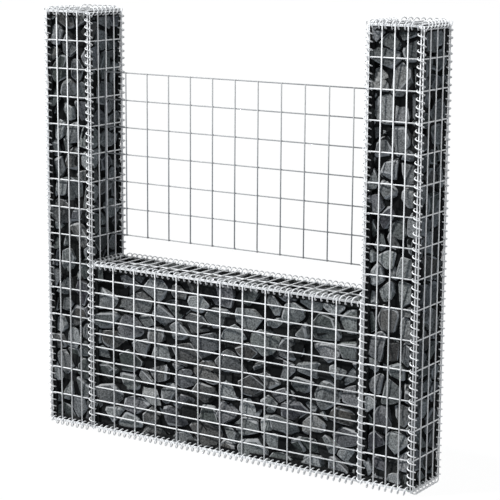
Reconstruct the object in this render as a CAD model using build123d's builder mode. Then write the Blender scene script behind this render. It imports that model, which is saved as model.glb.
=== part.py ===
from build123d import *
import os
from math import ceil, cos, floor, pi, radians, sin, sqrt

# Free-standing gabion wall: two tall stone-filled posts of welded mesh, a low stone-filled
# wall between them and an open mesh screen above the wall, all edges bound by wire spirals.
# X runs along the wall, Y from front to back, Z up from the ground. Millimetres.

# Mesh wire, as square bars of the section of 4 mm round wire, and the room between two sheets
wire = 3.5
panel_gap = 0.5

# Post baskets
post_cell = 46.0
post_cells = 4
post_row = 100.0
post_rows = 15
post_lid_rows = 2

# Low wall basket
wall_cell = 92.0
wall_cells = 12
wall_row = 50.0
wall_rows = 12
wall_lid_rows = 2

# Screen, its lowest rail this far above the wall's highest rail
screen_cells = 12
screen_row = 97.0
screen_rows = 6
screen_sill = 107.0
screen_clearance = 0.3

# Spiral binders, left-handed, bent from straight lengths between corners
spiral_wire = 3.0
spiral_sides = 3
spiral_width = 31.0
spiral_corners = 4
spiral_pitch = 25.0
spiral_turns_per_cell = 2
spiral_clearance = 0.02

# Stone fill
fill_clearance = 0.3

# Mesh planes: uprights lie on the outer side of each plane, rails on the inner side
post_width = post_cells * post_cell + wire
side_step = wire + panel_gap
lid_step = 1.5 * wire + panel_gap
post_height = post_rows * post_row + 2 * lid_step
wall_height = wall_rows * wall_row + 2 * lid_step
wall_step = side_step + wire + panel_gap
bay_width = wall_cells * wall_cell + wire + 2 * wall_step
post_x = (bay_width + post_width) / 2

# Spiral axes lie midway between the edge wires that the spirals bind
spiral_step = side_step / 2
spiral_radius = spiral_width / 2 - spiral_wire / 2 / cos(pi / spiral_corners)
wire_pass = (wire + spiral_wire) / 2 + spiral_clearance
wall_end_step = (panel_gap + wall_step + wire) / 2
corner_room = (spiral_width + spiral_wire) / 2 + spiral_clearance
fill_chamfer = sqrt(2) * (spiral_width / 2 + fill_clearance) - spiral_step

# Directions into the baskets
right, back, up = Vector(1, 0, 0), Vector(0, 1, 0), Vector(0, 0, 1)

os.makedirs("parts", exist_ok=True)


def save(part, name):
    part.label = name
    export_step(part, f"parts/{name}.step")


def mesh_sheet(cells, cell, rows, row):
    """A welded sheet on the XY plane: uprights above the plane, rails below it."""
    with BuildPart() as sheet:
        with BuildSketch():
            with GridLocations(cell, 1, cells + 1, 1):
                Rectangle(wire, rows * row + wire)
        extrude(amount=wire)
        with BuildSketch():
            with GridLocations(1, row, 1, rows + 1):
                Rectangle(cells * cell + wire, wire)
        extrude(amount=-wire)
    return sheet.part


def coil(length, pitch, start):
    """A left-handed spiral along Z, centred on the origin, with a corner over +X at start."""
    step = pitch / spiral_corners
    turn = 2 * pi / spiral_corners
    counts = range(ceil((-length / 2 - start) / step), floor((length / 2 - start) / step) + 1)
    corners = [
        (spiral_radius * cos(turn * count), -spiral_radius * sin(turn * count), start + step * count)
        for count in counts
    ]
    outward = turn * (counts[0] + 0.5)
    with BuildPart() as spiral:
        with BuildLine() as path:
            Polyline(*corners)
        with BuildSketch(Plane(path.line @ 0, (cos(outward), -sin(outward), 0), path.line % 0)):
            RegularPolygon(spiral_wire / 2, spiral_sides)
        sweep(transition=Transition.RIGHT)
    return spiral.part


def over_wires(pitch, top):
    """How far past a cross wire the spiral goes in, where that wire's top is this far out of its plane."""
    return wire_pass + pitch / spiral_corners * (spiral_step + top + spiral_wire / 2) / spiral_radius


def edge(point, first, second):
    """A spiral's place at the middle of an edge, from the two directions into the basket."""
    return Plane(point, x_dir=first, z_dir=second.cross(first))


def place(piece, name, *places):
    """Writes one piece, or the same piece at several places, as one node."""
    with BuildPart() as placed:
        with Locations(*places):
            add(piece)
    save(placed.part, name)


def stone_fill(length, depth, height):
    """The packed stones as one block, its edges cut back behind the spirals."""
    with BuildPart() as fill:
        Box(length, depth, height)
        chamfer(fill.edges(), fill_chamfer)
    return fill.part


# The repeated pieces
post_side = mesh_sheet(post_cells, post_cell, post_rows, post_row)
post_lid = mesh_sheet(post_cells, post_cell, post_lid_rows, post_cells * post_cell / post_lid_rows)
wall_side = mesh_sheet(wall_cells, wall_cell, wall_rows, wall_row)
wall_lid = mesh_sheet(2 * wall_cells, wall_cell / 2, wall_lid_rows, post_cells * post_cell / wall_lid_rows)

post_pitch = post_cell / spiral_turns_per_cell
wall_pitch = wall_cell / 2 / spiral_turns_per_cell
first_upright = -post_cells * post_cell / 2
lid_length = post_width - 2 * corner_room
corner_coil = coil(post_rows * post_row - 2 * wire, spiral_pitch, wire_pass - post_rows * post_row / 2)
post_coil = coil(lid_length, post_pitch, first_upright + over_wires(post_pitch, wire))
side_coil = coil(lid_length, post_pitch, first_upright + over_wires(post_pitch, 0))
end_coil = coil(lid_length, post_pitch, first_upright + post_pitch / 2)
wall_coil = coil(
    bay_width - 2 * (side_step + corner_room),
    wall_pitch,
    over_wires(wall_pitch, wire) - wall_cells * wall_cell / 2,
)

# The spirals under the baskets stand on the ground
base = max(post_coil.bounding_box().max.Y, wall_coil.bounding_box().max.Y) - spiral_step
post_z = base + post_height / 2
wall_z = base + wall_height / 2
wall_lid_z = base + wall_height
front_y = -post_width / 2

# Posts
for side, out in (("left", -right), ("right", right)):
    middle = out * post_x + up * post_z
    face_x = post_width / 2 + side_step
    place(post_side, f"{side}_post_front_mesh", Plane(middle + back * front_y, right, -back))
    place(post_side, f"{side}_post_back_mesh", Plane(middle - back * front_y, -right, back))
    place(post_side, f"{side}_post_outer_mesh", Plane(middle + out * face_x, up.cross(out), out))
    place(post_side, f"{side}_post_inner_mesh", Plane(middle - out * face_x, -up.cross(out), -out))

    # Corner spirals: the inner ones also take in the edge wires of the low wall
    corners = {
        "front_outer": (out * (post_width / 2 + spiral_step), back, -out),
        "back_outer": (out * (post_width / 2 + spiral_step), -back, -out),
        "front_inner": (-out * (post_width / 2 + side_step), back, out),
        "back_inner": (-out * (post_width / 2 + side_step), -back, out),
    }
    for corner, (across, inward, first) in corners.items():
        axis = middle + across + inward * front_y
        place(corner_coil, f"{side}_post_{corner}_spiral", edge(axis, first, inward))

    # Lid and floor with the spirals along their edges; the wall's floor meets the inner edge below
    for face, normal in (("top", up), ("bottom", -up)):
        lid = middle + normal * post_height / 2
        place(post_lid, f"{side}_post_{face}_mesh", Plane(lid, right, normal))
        axis = lid - normal * spiral_step
        across = out * (post_width + panel_gap) / 2
        sides = [edge(axis + across, -out, -normal)]
        if face == "top":
            sides.append(edge(axis - across, out, -normal))
        with BuildPart() as spirals:
            with Locations(edge(axis + back * front_y, back, -normal)):
                add(post_coil)
            with Locations(edge(axis - back * front_y, -back, -normal)):
                add(post_coil)
            with Locations(*sides):
                add(side_coil)
        save(spirals.part, f"{side}_post_{face}_spirals")

    # The fill has a groove for the spiral that binds the end of the wall's lid
    end_x = out * (bay_width / 2 - wall_end_step)
    end_axis = end_x + up * (wall_lid_z - spiral_step)
    fill = stone_fill(
        post_width + 2 * (panel_gap - fill_clearance),
        post_width - 2 * (wire + fill_clearance),
        post_height - 2 * (wire + fill_clearance),
    )
    with BuildPart() as grooved:
        with Locations(middle):
            add(fill)
        with Locations(Plane(end_axis, right, back)):
            Cylinder(spiral_width / 2 + fill_clearance, post_width, mode=Mode.SUBTRACT)
    save(grooved.part, f"{side}_post_stone_fill")
    place(end_coil, f"wall_{side}_end_spiral", edge(end_axis, -out, -up))

# Low wall
wall_front = up * wall_z + back * front_y
wall_back = up * wall_z - back * front_y
place(wall_side, "wall_front_mesh", Plane(wall_front, right, -back))
place(wall_side, "wall_back_mesh", Plane(wall_back, -right, back))
for face, normal in (("top", up), ("bottom", -up)):
    lid = up * wall_z + normal * wall_height / 2
    place(wall_lid, f"wall_{face}_mesh", Plane(lid, right, normal))
    for name, inward in (("front", back), ("back", -back)):
        axis = lid + inward * front_y - normal * spiral_step
        place(wall_coil, f"wall_{face}_{name}_spiral", edge(axis, inward, -normal))
wall_fill = stone_fill(
    bay_width - 2 * (side_step + wire + fill_clearance),
    post_width - 2 * (wire + fill_clearance),
    wall_height - 2 * (wire + fill_clearance),
)
place(wall_fill, "wall_stone_fill", Location((0, 0, wall_z)))

# Screen: its end uprights stand in front of the middle uprights of the posts' inner meshes
screen_width = bay_width - 2 * (side_step + screen_clearance) - wire
screen = mesh_sheet(screen_cells, screen_width / screen_cells, screen_rows, screen_row)
screen_y = -1.5 * wire - screen_clearance
screen_z = wall_lid_z - lid_step + screen_sill + screen_rows * screen_row / 2
place(screen, "screen_mesh", Plane((0, screen_y, screen_z), right, -back))
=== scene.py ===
import math
import random
from itertools import product

import bmesh
import bpy
from mathutils import Matrix, Vector


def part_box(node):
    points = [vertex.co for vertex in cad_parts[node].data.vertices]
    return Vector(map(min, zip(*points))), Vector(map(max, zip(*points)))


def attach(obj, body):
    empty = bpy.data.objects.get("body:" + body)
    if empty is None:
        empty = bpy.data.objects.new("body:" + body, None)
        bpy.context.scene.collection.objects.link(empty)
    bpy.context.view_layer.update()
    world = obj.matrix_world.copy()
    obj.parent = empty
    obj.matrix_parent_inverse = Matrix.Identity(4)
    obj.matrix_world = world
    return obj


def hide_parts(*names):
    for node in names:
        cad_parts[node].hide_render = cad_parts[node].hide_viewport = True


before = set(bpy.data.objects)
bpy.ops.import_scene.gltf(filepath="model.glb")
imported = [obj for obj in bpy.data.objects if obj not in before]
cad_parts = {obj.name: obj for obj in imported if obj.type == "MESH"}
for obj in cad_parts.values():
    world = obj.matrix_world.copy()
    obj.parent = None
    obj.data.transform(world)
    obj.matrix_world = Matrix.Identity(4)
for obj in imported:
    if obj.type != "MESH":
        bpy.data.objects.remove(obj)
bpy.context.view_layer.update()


# Directions, and where the frame's nodes are

right = Vector((1, 0, 0))
back = Vector((0, 1, 0))
up = Vector((0, 0, 1))
sides = {"left": -right, "right": right}   # each post, and its way out from the bay
levels = {"top": up, "bottom": -up}


def middle(node):
    low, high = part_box(node)
    return (low + high) / 2


def span(node):
    low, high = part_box(node)
    return high - low


def laidAlong(point, x, y, z):   # the matrix that puts a thing at a point with its axes along x, y and z
    return Matrix.Translation(point) @ Matrix((x, y, z)).transposed().to_4x4()


# Nodes: one small kit for the shader trees and the geometry trees

class Flow:   # a node's output socket that takes part in sums
    def __init__(self, maker, node, socket):
        self.maker = maker
        self.node = node
        self.socket = socket

    def out(self, name):
        return Flow(self.maker, self.node, self.node.outputs[name])

    def __add__(self, other):
        return self.maker.maths("ADD", self, other)

    def __radd__(self, other):
        return self.maker.maths("ADD", other, self)

    def __sub__(self, other):
        return self.maker.maths("SUBTRACT", self, other)

    def __rsub__(self, other):
        return self.maker.maths("SUBTRACT", other, self)

    def __mul__(self, other):
        return self.maker.maths("MULTIPLY", self, other)

    def __rmul__(self, other):
        return self.maker.maths("MULTIPLY", other, self)

    def __truediv__(self, other):
        return self.maker.maths("DIVIDE", self, other)

    def __rtruediv__(self, other):
        return self.maker.maths("DIVIDE", other, self)


def socketCalled(sockets, key):   # by its identifier, which tells like names apart, or else by its name
    return next((socket for socket in sockets if socket.identifier == key), None) or sockets[key]


class NodeMaker:
    def __init__(self, tree):
        self.tree = tree

    def feed(self, socket, value):
        for part in value if isinstance(value, list) else [value]:
            if isinstance(part, Flow):
                self.tree.links.new(part.socket, socket)
            else:
                socket.default_value = part

    def make(self, kind, settings=None, values=None, out=0):
        node = self.tree.nodes.new(kind)
        for name, value in (settings or {}).items():
            if name == "stops":
                while len(node.color_ramp.elements) < len(value):
                    node.color_ramp.elements.new(0.5)   # moved to its place below
                for stop, (place, colour) in zip(node.color_ramp.elements, value):
                    stop.position = place
                    stop.color = colour
            else:
                setattr(node, name, value)
        for key, value in (values or {}).items():
            self.feed(socketCalled(node.inputs, key), value)
        return Flow(self, node, socketCalled(node.outputs, out) if node.outputs else None)

    def maths(self, operation, first, second=0.0):
        return self.make("ShaderNodeMath", {"operation": operation}, {"Value": first, "Value_001": second})

    def vector(self, **parts):
        return self.make("ShaderNodeCombineXYZ", None, parts)


def newTree(name, inputs):   # a geometry tree with named inputs; returns its maker and the inputs
    tree = bpy.data.node_groups.new(name, "GeometryNodeTree")
    tree.interface.new_socket("Geometry", in_out="OUTPUT", socket_type="NodeSocketGeometry")
    for title, kind in inputs.items():
        tree.interface.new_socket(title, in_out="INPUT", socket_type="NodeSocket" + kind)
    maker = NodeMaker(tree)
    entry = maker.make("NodeGroupInput")
    return maker, {title: entry.out(title) for title in inputs}


def closeTree(maker, geometry, material):
    real = maker.make("GeometryNodeRealizeInstances", None, {"Geometry": geometry})
    painted = maker.make("GeometryNodeSetMaterial", None, {"Geometry": real, "Material": material})
    maker.make("NodeGroupOutput", None, {"Geometry": painted})
    return maker.tree


def grow(tree, values, place):   # runs a geometry tree once and returns a plain mesh, put in its place
    piece = bpy.data.objects.new("growing", bpy.data.meshes.new("growing"))
    bpy.context.scene.collection.objects.link(piece)
    modifier = piece.modifiers.new("grow", "NODES")
    modifier.node_group = tree
    for item in tree.interface.items_tree:
        if item.item_type == "SOCKET" and item.in_out == "INPUT":
            modifier[item.identifier] = values[item.name]
    piece.update_tag()
    ready = piece.evaluated_get(bpy.context.evaluated_depsgraph_get())
    mesh = bpy.data.meshes.new_from_object(ready)
    bpy.data.objects.remove(piece)
    mesh.transform(place)
    return mesh


def newPiece(name, whole, material):   # what a bmesh has gathered, as one piece at the origin
    data = bpy.data.meshes.new(name)
    whole.to_mesh(data)
    whole.free()
    data.materials.clear()   # sets each face back to the first material
    data.materials.append(material)
    piece = bpy.data.objects.new(name, data)
    bpy.context.scene.collection.objects.link(piece)
    return piece


def joined(name, meshes, material):
    whole = bmesh.new()
    for mesh in meshes:
        whole.from_mesh(mesh)
        bpy.data.meshes.remove(mesh)
    return newPiece(name, whole, material)


def keep(piece, nodes):
    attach(piece, "root")
    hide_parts(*nodes)
    print(piece.name, "faces", len(piece.data.polygons))


# Materials

zincLook = {
    "bright": (0.86, 0.872, 0.885, 1),
    "dull": (0.65, 0.662, 0.675, 1),
    "screenBright": (0.57, 0.575, 0.58, 1),
    "screenDull": (0.40, 0.405, 0.41, 1),
    "spangle": 260.0,
    "clouds": {"Scale": 30.0, "Detail": 3.0},
    "cloudShare": 0.5,        # of the clouds; the spangle has the rest
    "metallic": 0.9,
    "screenMetallic": 0.3,
    "roughness": 0.76,
    "roughnessSpread": 0.12,
    "bump": {"Strength": 0.15, "Distance": 0.0004},
}

stoneLook = {
    "dark": (0.027, 0.030, 0.033, 1),
    "light": (0.268, 0.275, 0.273, 1),
    "brown": (0.150, 0.128, 0.105, 1),
    "green": (0.110, 0.130, 0.108, 1),
    "violet": (0.135, 0.122, 0.140, 1),
    # the broken faces' paler colour: partly real wear, partly painted highlight on the facets
    "edge": (0.44, 0.445, 0.45, 1),
    # near-black painted shade for the grit and the rubble, which stand in for the shadow deep in the voids
    "deep": (0.0022, 0.0025, 0.0030, 1),
    "hues": ((0.0, "brown"), (0.3, "light"), (0.6, "green"), (0.8, "light"), (1.0, "violet")),
    "hueShare": 0.55,
    "patches": {"Scale": 18.0, "Detail": 5.0, "Roughness": 0.6},
    "grain": {"Scale": 165.0, "Detail": 4.0, "Roughness": 0.7},
    "speckle": ((0.36, 0.30), (0.64, 1.65)),   # the grain, and how bright it makes the stone
    "wearAndHighlight": 0.3,              # of the broken edges' paler colour, partly wear and partly painted highlight
    "wearAndHighlightSpread": 0.6,        # and more of it by patches
    "patchHeight": 0.7,       # of the relief; the grain has the rest
    "bump": {"Strength": 0.6, "Distance": 0.004},
    "roughness": 0.75,
    "roughnessSpread": 0.2,
    "specular": 0.08,
}

stoneLayers = ("tone", "tint", "edge", "deep")   # what the material reads from each face; the last is its share of painted shade


def emptied(owner):   # clears the node tree of a material or a world and returns its maker
    owner.use_nodes = True
    owner.node_tree.nodes.clear()
    return NodeMaker(owner.node_tree)


def mixColour(maker, share, first, second, blend="MIX"):
    return maker.make("ShaderNodeMix", {"data_type": "RGBA", "blend_type": blend},
                      {"Factor_Float": share, "A_Color": first, "B_Color": second}, "Result_Color")


def noise(maker, where, look):
    return maker.make("ShaderNodeTexNoise", None, {"Vector": where, **look}).out("Fac")


def ramp(maker, share, stops):
    return maker.make("ShaderNodeValToRGB", {"stops": stops}, {"Fac": share})


def zincMaterial(name, dull, bright, metallic):
    material = bpy.data.materials.new(name)
    maker = emptied(material)
    where = maker.make("ShaderNodeTexCoord").out("Object")
    spangle = maker.make("ShaderNodeTexVoronoi", {"feature": "F1"},
                         {"Vector": where, "Scale": zincLook["spangle"]}).out("Color")
    shade = maker.make("ShaderNodeSeparateColor", None, {"Color": spangle}).out("Red")
    clouds = noise(maker, where, zincLook["clouds"])
    share = shade * (1 - zincLook["cloudShare"]) + clouds * zincLook["cloudShare"]
    bump = maker.make("ShaderNodeBump", None, {"Height": clouds, **zincLook["bump"]})
    shader = maker.make("ShaderNodeBsdfPrincipled", None, {
        "Base Color": mixColour(maker, share, dull, bright),
        "Metallic": metallic,
        "Roughness": zincLook["roughness"] + zincLook["roughnessSpread"] * share,
        "Normal": bump,
    })
    maker.make("ShaderNodeOutputMaterial", None, {"Surface": shader})
    return material


def stoneMaterial():
    material = bpy.data.materials.new("brokenStone")
    maker = emptied(material)
    where = maker.make("ShaderNodeTexCoord").out("Object")
    tone, tint, edge, deep = (
        maker.make("ShaderNodeAttribute", {"attribute_name": layer}).out("Fac") for layer in stoneLayers)
    patches = noise(maker, where, stoneLook["patches"])
    grain = noise(maker, where, stoneLook["grain"])

    plain = mixColour(maker, tone, stoneLook["dark"], stoneLook["light"])
    hue = ramp(maker, tint, [(place, stoneLook[colour]) for place, colour in stoneLook["hues"]])
    tinted = mixColour(maker, stoneLook["hueShare"] * patches, plain, hue)
    speckle = ramp(maker, grain, [(place, (grey, grey, grey, 1)) for place, grey in stoneLook["speckle"]])
    speckled = mixColour(maker, 1.0, tinted, speckle, "MULTIPLY")
    # broken faces paler: partly wear, partly painted highlight
    wearAndHighlight = edge * (stoneLook["wearAndHighlight"] + stoneLook["wearAndHighlightSpread"] * patches)
    wornAndHighlit = mixColour(maker, wearAndHighlight, speckled, stoneLook["edge"])
    # painted shade: each face turns near-black by its share of painted shade
    shaded = mixColour(maker, deep, wornAndHighlit, stoneLook["deep"])

    height = patches * stoneLook["patchHeight"] + grain * (1 - stoneLook["patchHeight"])
    bump = maker.make("ShaderNodeBump", None, {"Height": height, **stoneLook["bump"]})
    shader = maker.make("ShaderNodeBsdfPrincipled", None, {
        "Base Color": shaded,
        "Roughness": stoneLook["roughness"] + stoneLook["roughnessSpread"] * grain,
        "Specular IOR Level": stoneLook["specular"],
        "Normal": bump,
    })
    maker.make("ShaderNodeOutputMaterial", None, {"Surface": shader})
    return material


zinc = zincMaterial("zincWire", zincLook["dull"], zincLook["bright"], zincLook["metallic"])
screenZinc = zincMaterial("screenWire", zincLook["screenDull"], zincLook["screenBright"],
                          zincLook["screenMetallic"])
brokenStone = stoneMaterial()
print("materials made")


# Welded sheets: uprights on the outer side, rails on the inner side, a weld at every crossing

meshWire = {
    "radius": 0.0023,
    "layer": 0.0035,      # thickness of the uprights' and of the rails' layer in the frame
    "sides": 8,
    "weld": 0.0026,
    "weldHeight": 0.8,    # of a weld's width
}

sheets = {   # cells and rows of each sheet
    "postSide": (4, 15),
    "postLid": (4, 2),
    "wallSide": (12, 12),
    "wallLid": (24, 2),
    "screen": (12, 6),
}


def sheetTree():
    maker, given = newTree("weldedSheet", {
        "Width": "Float", "Height": "Float", "Cells": "Int", "Rows": "Int", "Radius": "Float",
        "Level": "Float", "Sides": "Int", "Weld": "Float", "Material": "Material"})
    radius = given["Radius"]
    rightAngle = math.pi / 2

    def row(count, width, length, axis, turn, level):   # wires side by side along one axis
        line = maker.make("GeometryNodeMeshLine", {"mode": "END_POINTS", "count_mode": "TOTAL"}, {
            "Count": count + 1,
            "Start Location": maker.vector(**{axis: width * -0.5, "Z": level}),
            "Offset": maker.vector(**{axis: width * 0.5, "Z": level})})
        bar = maker.make("GeometryNodeMeshCylinder", {"fill_type": "NGON"}, {
            "Vertices": given["Sides"], "Radius": radius, "Depth": length + radius * 2.0})
        # flat ends keep the long faces' normals level
        shaded = maker.make("GeometryNodeSetShadeSmooth", None, {
            "Geometry": bar, "Shade Smooth": bar.out("Side")})
        return maker.make("GeometryNodeInstanceOnPoints", None, {
            "Points": line, "Instance": shaded, "Rotation": turn})

    uprights = row(given["Cells"], given["Width"], given["Height"], "X",
                   (rightAngle, 0.0, 0.0), given["Level"])
    rails = row(given["Rows"], given["Height"], given["Width"], "Y",
                (0.0, rightAngle, 0.0), given["Level"] * -1.0)
    crossings = maker.make("GeometryNodeMeshGrid", None, {
        "Size X": given["Width"], "Size Y": given["Height"],
        "Vertices X": given["Cells"] + 1, "Vertices Y": given["Rows"] + 1})
    ball = maker.make("GeometryNodeMeshIcoSphere", None, {"Radius": given["Weld"], "Subdivisions": 1})
    bead = maker.make("GeometryNodeSetShadeSmooth", None, {"Geometry": ball})
    welds = maker.make("GeometryNodeInstanceOnPoints", None, {
        "Points": crossings, "Instance": bead, "Scale": (1.0, 1.0, meshWire["weldHeight"])})
    whole = maker.make("GeometryNodeJoinGeometry", None, {"Geometry": [uprights, rails, welds]})
    return closeTree(maker, whole, given["Material"])


weldedSheet = sheetTree()


def isLevel(normal):
    return abs(normal.dot(up)) > 0.5


def sheet(node, kind, outward, material):
    upright = back if isLevel(outward) else up
    across = upright.cross(outward)
    size = span(node)
    cells, rows = sheets[kind]
    return grow(weldedSheet, {
        "Width": abs(size.dot(across)) - meshWire["layer"],
        "Height": abs(size.dot(upright)) - meshWire["layer"],
        "Cells": cells, "Rows": rows, "Radius": meshWire["radius"], "Level": meshWire["layer"] / 2,
        "Sides": meshWire["sides"], "Weld": meshWire["weld"], "Material": material,
    }, laidAlong(middle(node), across, upright, outward))


def basketMesh(name, basket, kind, facing):   # all the sheets of one basket as one piece
    nodes = [f"{basket}_{face}_mesh" for face in facing]
    made = [sheet(node, kind + ("Lid" if isLevel(normal) else "Side"), normal, zinc)
            for node, normal in zip(nodes, facing.values())]
    keep(joined(name, made, zinc), nodes)


for side, out in sides.items():
    basketMesh(side + "PostMesh", side + "_post", "post",
               {"front": -back, "back": back, "outer": out, "inner": -out, **levels})
basketMesh("wallMesh", "wall", "wall", {"front": -back, "back": back, **levels})

screen = sheet("screen_mesh", "screen", -back, screenZinc)
keep(joined("screenMesh", [screen], screenZinc), ["screen_mesh"])
print("mesh sheets made")


# Spiral binders: left-handed round wire, wound round the edge wires of the sheets

spiral = {
    "wire": 0.0021,            # the wire's radius
    "radius": 0.0137,          # from the axis to the wire's centre
    "cornerRadius": 0.0127,
    "steps": 16.0,             # points to a turn
    "sides": 6,
    "cornerPitch": 0.025,
    "postPitch": 0.023,
    "wallPitch": 0.023,
    "step": 0.002,             # from a sheet's plane to the axis
    "gap": 0.0005,             # from a lid's edge to the sheet beside it
    "pass": 0.0033,            # past a cross wire
    "tuck": (0.003, 0.0015),   # how far the corners' spirals sit inside the post
    "shorter": 0.012,          # than the lid or floor that it runs along
    "endShorter": 0.035,       # than the depth of the wall's lid, at its ends
}


def spiralTree():
    maker, given = newTree("spiralBinder", {
        "Low": "Float", "High": "Float", "Start": "Float", "Pitch": "Float", "Radius": "Float",
        "Wire": "Float", "Steps": "Float", "Sides": "Int", "Material": "Material"})
    line = maker.make("GeometryNodeCurvePrimitiveLine", {"mode": "POINTS"}, {
        "Start": maker.vector(Z=given["Low"]), "End": maker.vector(Z=given["High"])})
    count = (given["High"] - given["Low"]) / given["Pitch"] * given["Steps"]
    points = maker.make("GeometryNodeResampleCurve", {"mode": "COUNT"}, {
        "Curve": line, "Count": maker.maths("CEIL", count) + 1})
    height = maker.make("ShaderNodeSeparateXYZ", None, {
        "Vector": maker.make("GeometryNodeInputPosition")}).out("Z")
    angle = (height - given["Start"]) / given["Pitch"] * (2 * math.pi)
    bent = maker.vector(
        X=given["Radius"] * maker.maths("COSINE", angle),
        Y=given["Radius"] * maker.maths("SINE", angle) * -1.0,
        Z=height)
    wound = maker.make("GeometryNodeSetPosition", None, {"Geometry": points, "Position": bent})
    profile = maker.make("GeometryNodeCurvePrimitiveCircle", {"mode": "RADIUS"}, {
        "Resolution": given["Sides"], "Radius": given["Wire"]})
    tube = maker.make("GeometryNodeCurveToMesh", None, {
        "Curve": wound, "Profile Curve": profile, "Fill Caps": True})
    smooth = maker.make("GeometryNodeSetShadeSmooth", None, {"Geometry": tube})
    return closeTree(maker, smooth, given["Material"])


spiralBinder = spiralTree()

edgeWire = meshWire["layer"]
frontY = middle("left_post_front_mesh").y
postSpan = span("left_post_front_mesh").x
postHeight = span("left_post_front_mesh").z


# a spiral about an edge, from the middle of its axis and the two directions into the basket
def binder(point, first, second, length, pitch, start, radius=spiral["radius"]):
    along = second.cross(first)
    return grow(spiralBinder, {
        "Low": -length / 2, "High": length / 2, "Start": start, "Pitch": pitch, "Radius": radius,
        "Wire": spiral["wire"], "Steps": spiral["steps"], "Sides": spiral["sides"], "Material": zinc,
    }, laidAlong(point, first, along.cross(first), along))


def firstWire(width):   # where a sheet's first cross wire lies along its edge
    return edgeWire / 2 - width / 2


def overWires(pitch, top):   # how far past a cross wire the spiral goes in, over that wire's top
    quarterTurn = pitch / 4
    return spiral["pass"] + quarterTurn * (spiral["step"] + top + spiral["wire"]) / spiral["radius"]


def spiralAxis(node, normal):   # a little inside a lid or a floor
    return middle(node) - normal * spiral["step"]


def longEdges(node, normal, width, pitch):   # the spirals along a lid's or a floor's front and back
    return [binder(spiralAxis(node, normal) + inward * frontY, inward, -normal, width - spiral["shorter"],
                   pitch, firstWire(width) + overWires(pitch, edgeWire)) for inward in (back, -back)]


def postSpirals(side, out):
    made = []
    tuckX, tuckY = spiral["tuck"]
    outer = middle(f"{side}_post_outer_mesh") - out * (spiral["step"] + tuckX)
    inner = middle(f"{side}_post_inner_mesh") + out * tuckX
    height = postHeight - edgeWire
    for axis, first in ((outer, -out), (inner, out)):
        for inward in (back, -back):
            made.append(binder(axis + inward * (frontY + tuckY), first, inward, height,
                               spiral["cornerPitch"], spiral["pass"] - height / 2, spiral["cornerRadius"]))
    pitch = spiral["postPitch"]
    reach = out * (postSpan / 2 + spiral["gap"] / 2)
    for face, normal in levels.items():
        node = f"{side}_post_{face}_mesh"
        axis = spiralAxis(node, normal)
        made += longEdges(node, normal, postSpan, pitch)
        ends = [(axis + reach, -out)]
        if face == "top":   # the wall's floor meets the post's, with no spiral between them
            ends.append((axis - reach, out))
        for point, inward in ends:
            made.append(binder(point, inward, -normal, postSpan - spiral["shorter"], pitch,
                               firstWire(postSpan) + overWires(pitch, 0)))
    return made


def wallSpirals():
    made = []
    for face, normal in levels.items():
        made += longEdges(f"wall_{face}_mesh", normal, span("wall_front_mesh").x, spiral["wallPitch"])
    pitch = spiral["postPitch"]
    reach = middle("right_post_inner_mesh").x - spiral["step"]
    for out in sides.values():
        made.append(binder(spiralAxis("wall_top_mesh", up) + out * reach, -out, -up,
                           postSpan - spiral["endShorter"], pitch, firstWire(postSpan) + pitch / 2))
    return made


postCorners = ("front_outer", "back_outer", "front_inner", "back_inner")
for side, out in sides.items():
    nodes = [f"{side}_post_{corner}_spiral" for corner in postCorners]
    nodes += [f"{side}_post_{face}_spirals" for face in levels]
    keep(joined(side + "PostSpirals", postSpirals(side, out), zinc), nodes)

nodes = [f"wall_{face}_{edge}_spiral" for face in levels for edge in ("front", "back")]
nodes += [f"wall_{side}_end_spiral" for side in sides]
keep(joined("wallSpirals", wallSpirals(), zinc), nodes)
print("spirals made")


# Stones: each one a broken block that fills its own share of the basket

packing = {   # how the stones' middles are scattered, with distances in stone sizes
    "radius": (0.32, 0.60),
    "smaller": 0.04,          # by how much the radius shrinks from one round to the next
    "tries": 700,             # a round
    "closeness": 0.86,        # of two radii added up, how near two middles may come
    "neighbours": 24,         # that a stone is cut off from
}

blocks = {   # the stones that show
    "postSize": (0.064, 0.064, 0.068),
    "wallSize": (0.088, 0.078, 0.063),
    "uncut": 0.4,             # side of the cube that each is cut from
    "swell": 0.0015,          # they stand this far into the meshes' openings
    "gap": (0.0018, 0.0060),  # kept free on each side of a joint
    "chips": (4, 7),          # corners broken off
    "chipDepth": (0.62, 0.94),
    "flat": (0.72, 0.90),     # how much of each face stays flat
    "merge": 0.0035,          # corners nearer than this become one
    "plane": 0.12,            # faces that turn by less than this angle become one
    "alike": 0.98,            # cosine to a flat face's direction above which a face counts as flat
    "toneBias": 1.5,          # above 1 there are more dark stones
    "toneSpread": 0.18,       # between the faces of one stone
    "lean": 0.30,             # tilt of the outer faces
    "set": 0.009,             # how far an outer face may stand back from the mesh
    "cut": 0.002,             # depth of the cut along the basket's edges
}

grit = {   # the small pieces that close the basket's edges, near-black with painted shade
    "thick": 0.018,
    "wider": 1.3,             # times that thickness, before they are cut
    "length": (0.018, 0.050),
    "longer": 1.1,            # times that length, so that they overlap
    "endRoom": 0.005,         # least distance from a middle to the basket's end
    "tint": 0.5,
    # how much painted shade each piece takes
    "deep": (0.88, 1.0),
    "lean": 0.12,
    "set": 0.003,
    "cut": 0.002,
}

rubble = {   # the stones that close the heap off behind those that show, near-black with painted shade for the shadow in the voids
    "size": (0.056, 0.056, 0.050),
    "core": 0.008,            # how far inside the basket they begin
    "tint": 0.5,
    # how much painted shade each piece takes
    "deep": (0.90, 1.0),
    "lean": 0.1,
    "set": 0.014,
    "cut": 0.0,
}


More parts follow.
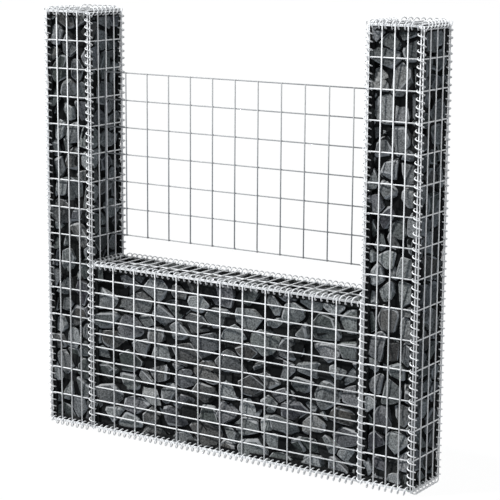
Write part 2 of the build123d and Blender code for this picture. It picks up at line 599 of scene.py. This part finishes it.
def clip(solid, point, normal):
    tiny = 1e-6
    if not solid.verts or max((v.co - point).dot(normal) for v in solid.verts) <= tiny:
        return
    found = bmesh.ops.bisect_plane(
        solid, geom=solid.verts[:] + solid.edges[:] + solid.faces[:],
        plane_co=point, plane_no=normal, clear_outer=True)
    rim = [e for e in found["geom_cut"] if isinstance(e, bmesh.types.BMEdge)]
    if len(rim) > 2:
        bmesh.ops.contextual_create(solid, geom=rim)


def isClosed(solid):
    return len(solid.faces) > 3


def divided(a, b):
    return Vector([p / q for p, q in zip(a, b)])


def multiplied(a, b):
    return Vector([p * q for p, q in zip(a, b)])


def scatter(low, high, size, dice):   # middles and radii of the stones, large ones first
    places = []
    small, large = packing["radius"]
    radius = large
    while radius > small:
        for _ in range(packing["tries"]):
            spot = Vector([dice.uniform(a, b) for a, b in zip(low, high)])
            scaled = divided(spot, size)
            if all((scaled - there).length > packing["closeness"] * (radius + other)
                   for _, there, other in places):
                places.append((spot, scaled, radius))
        radius -= packing["smaller"]
    return places


def insideBasket(solid, spot, low, high, dice, look):
    walls = {-1: low, 1: high}
    for axis, sign in product(range(3), walls):
        flat = Vector((0, 0, 0))
        flat[axis] = sign
        face = spot.copy()
        face[axis] = walls[sign][axis]
        tilt = Vector([0 if k == axis else dice.uniform(-look["lean"], look["lean"]) for k in range(3)])
        clip(solid, face - flat * dice.uniform(0, look["set"]), (flat + tilt).normalized())
        clip(solid, face, flat)
    for (first, second), a, b in product(((0, 1), (0, 2), (1, 2)), walls, walls):
        normal = Vector((0, 0, 0))
        normal[first], normal[second] = a, b
        edge = spot.copy()
        edge[first] = walls[a][first] - a * look["cut"]
        edge[second] = walls[b][second]
        clip(solid, edge, normal.normalized())


def cube(spot, size):
    solid = bmesh.new()
    bmesh.ops.create_cube(solid, size=1.0)
    bmesh.ops.scale(solid, verts=solid.verts[:], vec=size)
    bmesh.ops.translate(solid, verts=solid.verts[:], vec=spot)
    return solid


def shareOf(number, places, size, gap):   # the part of the basket that is nearest to one middle
    spot, scaled, radius = places[number]
    near = sorted(((there - scaled).length, k) for k, (_, there, _) in enumerate(places) if k != number)
    solid = cube(spot, Vector((blocks["uncut"],) * 3))
    for distance, k in near[:packing["neighbours"]]:
        between = places[k][1] - scaled
        share = 0.5 + (radius ** 2 - places[k][2] ** 2) / (2 * distance ** 2)
        normal = divided(between, size).normalized()
        clip(solid, multiplied(scaled + between * share, size) - normal * gap, normal)
    return solid


def chip(solid, dice):
    heart = sum((v.co for v in solid.verts), Vector()) / len(solid.verts)
    for _ in range(dice.randint(*blocks["chips"])):
        way = Vector([dice.gauss(0, 1) for _ in range(3)]).normalized()
        reach = max((v.co - heart).dot(way) for v in solid.verts)
        clip(solid, heart + way * reach * dice.uniform(*blocks["chipDepth"]), way)


def gatherer(whole, dice):   # returns the function that adds one stone to the whole heap
    layers = {layer: whole.faces.layers.float.new(layer) for layer in stoneLayers}

    def gather(points, flats, tone, tint, deep):   # the points' hull; faces that aren't flats are edges
        hull = bmesh.new()
        for point in points:
            hull.verts.new(point)
        bmesh.ops.remove_doubles(hull, verts=hull.verts[:], dist=blocks["merge"])
        made = bmesh.ops.convex_hull(hull, input=hull.verts[:])
        spare = made["geom_interior"] + made["geom_unused"]
        loose = {g for g in spare if isinstance(g, bmesh.types.BMVert)}
        bmesh.ops.delete(hull, geom=list(loose), context="VERTS")
        bmesh.ops.dissolve_limit(
            hull, angle_limit=blocks["plane"], verts=hull.verts[:], edges=hull.edges[:])
        bmesh.ops.recalc_face_normals(hull, faces=hull.faces[:])
        copies = {v: whole.verts.new(v.co) for v in hull.verts}
        for face in hull.faces:
            new = whole.faces.new([copies[v] for v in face.verts])
            isFlat = any(face.normal.dot(normal) > blocks["alike"] for normal in flats)
            faceTone = tone + dice.uniform(-blocks["toneSpread"], blocks["toneSpread"])
            new[layers["tone"]] = min(1, max(0, faceTone))
            new[layers["tint"]] = tint
            new[layers["edge"]] = 0.0 if isFlat else 1.0
            new[layers["deep"]] = deep
        hull.free()

    return gather


def gatherDark(gather, solid, dice, look):   # a piece of grit or rubble as it was cut
    if isClosed(solid):
        gather([v.co.copy() for v in solid.verts], [f.normal.copy() for f in solid.faces],
               tone=dice.random(), tint=look["tint"], deep=dice.uniform(*look["deep"]))
    solid.free()


def addBlocks(gather, low, high, size, dice):
    places = scatter(low, high, size, dice)
    for number, (spot, _, _) in enumerate(places):
        solid = shareOf(number, places, size, gap=dice.uniform(*blocks["gap"]))
        insideBasket(solid, spot, low, high, dice, blocks)
        if isClosed(solid):
            chip(solid, dice)
            flat = dice.uniform(*blocks["flat"])
            points, flats = [], []
            for face in solid.faces:
                centre = face.calc_center_median()
                flats.append(face.normal.copy())
                points += [centre + (v.co - centre) * flat for v in face.verts]
            gather(points, flats, tone=dice.random() ** blocks["toneBias"], tint=dice.random(), deep=0.0)
        solid.free()
    return len(places)


def addGrit(gather, low, high, dice):
    half = grit["thick"] / 2
    for axis in range(3):
        first, second = [k for k in range(3) if k != axis]
        for a, b in product((low, high), repeat=2):
            place = low[axis]
            while place < high[axis]:
                length = dice.uniform(*grit["length"])
                spot = Vector((0, 0, 0))
                spot[axis] = min(place + length / 2, high[axis] - grit["endRoom"])
                spot[first] = a[first] + (half if a is low else -half)
                spot[second] = b[second] + (half if b is low else -half)
                size = Vector((grit["thick"] * grit["wider"],) * 3)
                size[axis] = length * grit["longer"]
                solid = cube(spot, size)
                insideBasket(solid, spot, low, high, dice, grit)
                gatherDark(gather, solid, dice, grit)
                place += length


def addRubble(gather, low, high, dice):
    core = Vector((rubble["core"],) * 3)
    low, high = low + core, high - core
    places = scatter(low, high, rubble["size"], dice)
    for number, (spot, _, _) in enumerate(places):
        solid = shareOf(number, places, rubble["size"], gap=0.0)
        insideBasket(solid, spot, low, high, dice, rubble)
        gatherDark(gather, solid, dice, rubble)
    return len(places)


def stoneHeap(name, node, size, seed):
    dice = random.Random(seed)
    low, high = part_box(node)
    swell = Vector((blocks["swell"],) * 3)
    low, high = low - swell, high + swell
    whole = bmesh.new()
    gather = gatherer(whole, dice)
    shown = addBlocks(gather, low, high, size, dice)
    addGrit(gather, low, high, dice)
    inner = addRubble(gather, low, high, dice)
    keep(newPiece(name, whole, brokenStone), [node])
    print(name, "stones", shown, "inner", inner)


stoneHeap("leftPostStones", "left_post_stone_fill", blocks["postSize"], seed=3)
stoneHeap("rightPostStones", "right_post_stone_fill", blocks["postSize"], seed=5)
stoneHeap("wallStones", "wall_stone_fill", blocks["wallSize"], seed=7)
print("stones made")


# Floor, light and camera

studio = {
    "sun": 4.05,
    "sunFrom": (-0.50, -0.51, 0.91),
    "sunAngle": 6.0,
    "sky": 0.185,
    "skyColour": (0.74, 0.88, 1, 1),
    "skyWhite": 1.0,          # how much of the sky the camera sees as white
    "skyGlow": 1.0,
    "floor": (0.40, 0.44, 0.49, 1),
    "floorSize": 60,
    "floorWhite": 0.95,       # the rest shows the shadow
    "floorGlow": 1.035,
    "white": (1, 1, 1, 1),
}

camera = {   # solved from the crossings of the mesh in the photograph, in metres and degrees
    "place": (3.1865, -4.8301, 1.834),
    "azimuth": 32.92,
    "elevation": 10.882,
    "roll": 0.35,
    "focal": 1705.3,          # in the photograph's pixels
    "frame": 500,             # the photograph's width
    "farthest": 100,
}


def showWhite(maker, plain, white, share, output):   # to the camera and in what the metal shows
    path = maker.make("ShaderNodeLightPath")
    mirrored = maker.maths("MAXIMUM", path.out("Is Glossy Ray"), path.out("Is Transmission Ray"))
    seen = maker.maths("MAXIMUM", path.out("Is Camera Ray"), mirrored)
    mixed = maker.make("ShaderNodeMixShader", None, {
        "Fac": seen * share, "Shader": plain, "Shader_001": white})
    maker.make(output, None, {"Surface": mixed})


paleFloor = bpy.data.materials.new("paleFloor")
maker = emptied(paleFloor)
plain = maker.make("ShaderNodeBsdfDiffuse", None, {"Color": studio["floor"]})
white = maker.make("ShaderNodeEmission", None, {
    "Color": studio["white"], "Strength": studio["floorGlow"]})
showWhite(maker, plain, white, studio["floorWhite"], "ShaderNodeOutputMaterial")

bpy.ops.mesh.primitive_plane_add(size=studio["floorSize"])
floor = bpy.context.object
floor.name = "floor"
floor.data.materials.append(paleFloor)

world = bpy.data.worlds.new("studio")
maker = emptied(world)
plain = maker.make("ShaderNodeBackground", None, {
    "Color": studio["skyColour"], "Strength": studio["sky"]})
white = maker.make("ShaderNodeBackground", None, {
    "Color": studio["white"], "Strength": studio["skyGlow"]})
showWhite(maker, plain, white, studio["skyWhite"], "ShaderNodeOutputWorld")
bpy.context.scene.world = world

sunData = bpy.data.lights.new("sun", "SUN")
sunData.energy = studio["sun"]
sunData.angle = math.radians(studio["sunAngle"])
sun = bpy.data.objects.new("sun", sunData)
bpy.context.scene.collection.objects.link(sun)
sun.rotation_mode = "QUATERNION"
sun.rotation_quaternion = Vector(studio["sunFrom"]).to_track_quat("Z", "Y")

azimuth, elevation, roll = (math.radians(camera[k]) for k in ("azimuth", "elevation", "roll"))
forward = Vector((-math.sin(azimuth) * math.cos(elevation), math.cos(azimuth) * math.cos(elevation),
                  -math.sin(elevation)))
level = Vector((math.cos(azimuth), math.sin(azimuth), 0))
upward = level.cross(forward)
viewRight = level * math.cos(roll) + upward * math.sin(roll)
viewUp = upward * math.cos(roll) - level * math.sin(roll)
cameraData = bpy.data.cameras.new("camera")
cameraData.lens = camera["focal"] / camera["frame"] * cameraData.sensor_width
cameraData.clip_end = camera["farthest"]
view = bpy.data.objects.new("camera", cameraData)
bpy.context.scene.collection.objects.link(view)
view.matrix_world = laidAlong(Vector(camera["place"]), viewRight, viewUp, -forward)
bpy.context.scene.camera = view
bpy.context.scene.view_settings.view_transform = "Standard"
print("floor, light and camera made")
